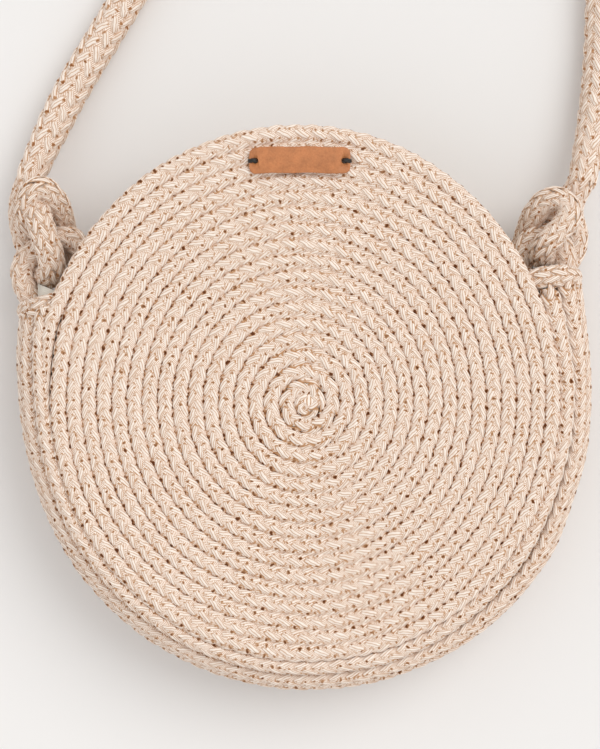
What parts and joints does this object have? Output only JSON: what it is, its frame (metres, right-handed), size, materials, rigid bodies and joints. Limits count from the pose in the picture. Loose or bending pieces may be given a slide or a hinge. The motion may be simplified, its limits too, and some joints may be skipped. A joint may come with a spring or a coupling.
{
  "type": "round rope handbag",
  "caption": "Round handbag of coiled braided rope: two spiral panels, a bulging rope gusset, a zipped mouth and a knotted rope shoulder strap.",
  "frame": {"origin": "under the middle of the bag's box, on the surface that its back panel lies on", "axes": "+Z out of the front panel, +Y towards the mouth and the strap, +X to the right seen from the front"},
  "size_m": [0.2517, 0.4899, 0.0521],
  "materials": {
    "cotton_rope": "braided cotton",
    "strap_rope": "braided cotton",
    "lining_cloth": "woven cotton",
    "zip_tape": "woven polyester",
    "zip_coil": "nylon",
    "zip_metal": "satin",
    "leather": "smooth grain",
    "black_thread": "waxed"
  },
  "bodies": {
    "bag": {"front_panel": "cotton_rope", "back_panel": "cotton_rope", "left_bail": "cotton_rope", "right_bail": "cotton_rope", "gusset_row_1": "cotton_rope", "gusset_row_2": "cotton_rope", "gusset_row_3": "cotton_rope", "gusset_row_4": "cotton_rope", "gusset_row_5": "cotton_rope", "gusset_row_6": "cotton_rope", "gusset_row_7": "cotton_rope", "gusset_row_8": "cotton_rope", "front_lining": "lining_cloth", "back_lining": "lining_cloth", "gusset_lining": "lining_cloth", "zip_panel": "lining_cloth", "zip_tape_front": "zip_tape", "zip_tape_back": "zip_tape", "zip_coil_front": "zip_coil", "zip_coil_back": "zip_coil", "zip_stop_start": "zip_metal", "zip_stop_end": "zip_metal", "label": "leather", "label_thread_left": "black_thread", "label_thread_right": "black_thread"},
    "strap": {"strap_rope": "strap_rope", "left_knot": "strap_rope", "right_knot": "strap_rope"},
    "zip_slider": {"zip_slider": "zip_metal"},
    "zip_pull": {"zip_pull": "zip_metal"}
  },
  "joints": [
    {"name": "strap_swing", "type": "hinge", "parent": "bag", "child": "strap", "pos_m": [0, 0.06805, 0.02433], "axis": [1, 0, 0], "range_deg": [0, 70]},
    {"name": "zip_slide", "type": "hinge", "parent": "bag", "child": "zip_slider", "pos_m": [-0.00114, 0.00486, 0.02433], "axis": [0, 0, 1], "range_deg": [0, 70]},
    {"name": "pull_flip", "type": "hinge", "parent": "zip_slider", "child": "zip_pull", "pos_m": [0.05556, 0.08893, 0.02433], "axis": [0, 0, -1], "range_deg": [0, 170]}
  ]
}
